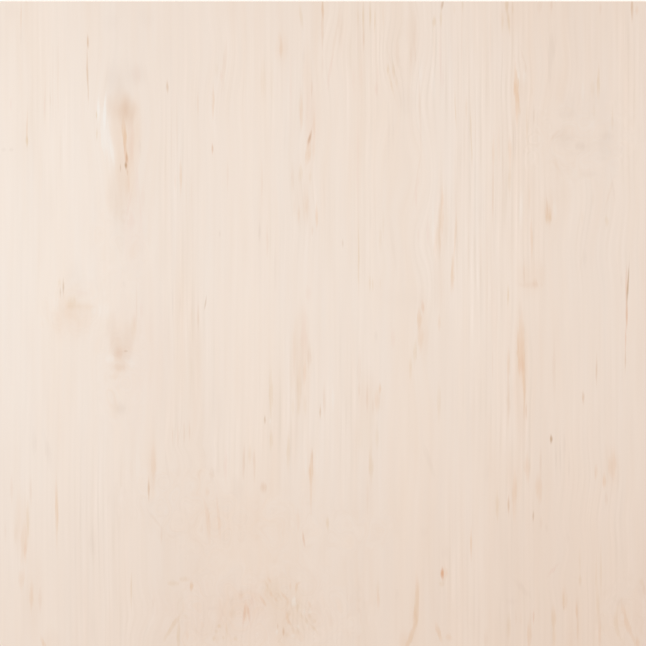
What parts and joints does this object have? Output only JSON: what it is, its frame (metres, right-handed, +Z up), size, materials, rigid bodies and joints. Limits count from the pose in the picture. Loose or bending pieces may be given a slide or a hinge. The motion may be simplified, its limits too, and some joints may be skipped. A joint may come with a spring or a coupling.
{
  "type": "plywood sheet",
  "caption": "Full rectangular sheet of hardwood plywood: a pale maple face with its grain running the length, sanded edges and a cross-laid veneer core that shows on the sawn sides.",
  "frame": {"origin": "middle of the underside", "axes": "+X across the sheet's width, +Y along its length and the face grain, +Z up out of the maple face"},
  "size_m": [1.2182, 2.4354, 0.0179],
  "materials": {
    "maple_veneer": "matte"
  },
  "bodies": {
    "root": {"plywood_sheet": "maple_veneer"}
  },
  "joints": []
}
